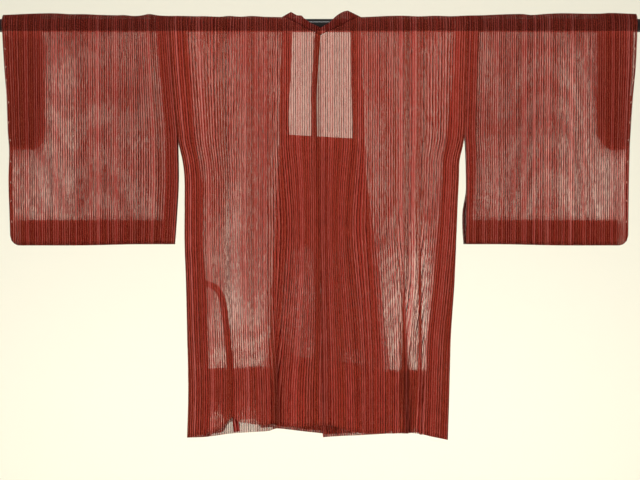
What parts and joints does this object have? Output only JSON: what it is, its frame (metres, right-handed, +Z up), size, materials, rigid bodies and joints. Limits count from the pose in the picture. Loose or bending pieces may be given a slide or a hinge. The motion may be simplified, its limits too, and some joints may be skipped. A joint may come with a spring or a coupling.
{
  "type": "michiyuki coat hung on a rod",
  "caption": "Sheer striped michiyuki coat hung flat by its sleeves on a plain round rod, seen from the back, with a square neckline and overlapped fronts.",
  "frame": {"origin": "on the rod's axis at the middle of its length, where the rod carries the coat", "axes": "+Z up, +X along the rod towards the wearer's right sleeve, -Y out of the coat's back, towards the viewer"},
  "size_m": [1.4, 0.0438, 0.9004],
  "materials": {
    "striped_gauze": "sheer warp-striped silk gauze in red, dark red and brown, with see-through lines between the stripes",
    "turned_in_gauze": "the same striped gauze turned in or faced, dense where it lies on the outer ply",
    "overlap_gauze": "the same striped gauze, folded double",
    "collar_gauze": "the same striped gauze folded into a narrow collar strip",
    "tie_gauze": "narrow folded tie of the same gauze",
    "black_enamel": "glossy black enamelled steel tube"
  },
  "bodies": {
    "root": {"armhole_allowance_left": "turned_in_gauze", "armhole_allowance_right": "turned_in_gauze", "back_seam_allowance": "turned_in_gauze", "body_left": "striped_gauze", "body_right": "striped_gauze", "collar": "collar_gauze", "cuff_facing_left": "turned_in_gauze", "cuff_facing_right": "turned_in_gauze", "front_overlap_left": "overlap_gauze", "front_overlap_right": "overlap_gauze", "hem_turnup_back_left": "turned_in_gauze", "hem_turnup_back_right": "turned_in_gauze", "hem_turnup_front_left": "turned_in_gauze", "hem_turnup_front_right": "turned_in_gauze", "inner_tie": "tie_gauze", "rod": "black_enamel", "side_allowance_left": "turned_in_gauze", "side_allowance_right": "turned_in_gauze", "sleeve_left": "striped_gauze", "sleeve_right": "striped_gauze", "sleeve_turnup_left": "turned_in_gauze", "sleeve_turnup_right": "turned_in_gauze", "wrist_seam_left": "turned_in_gauze", "wrist_seam_right": "turned_in_gauze"}
  },
  "joints": []
}
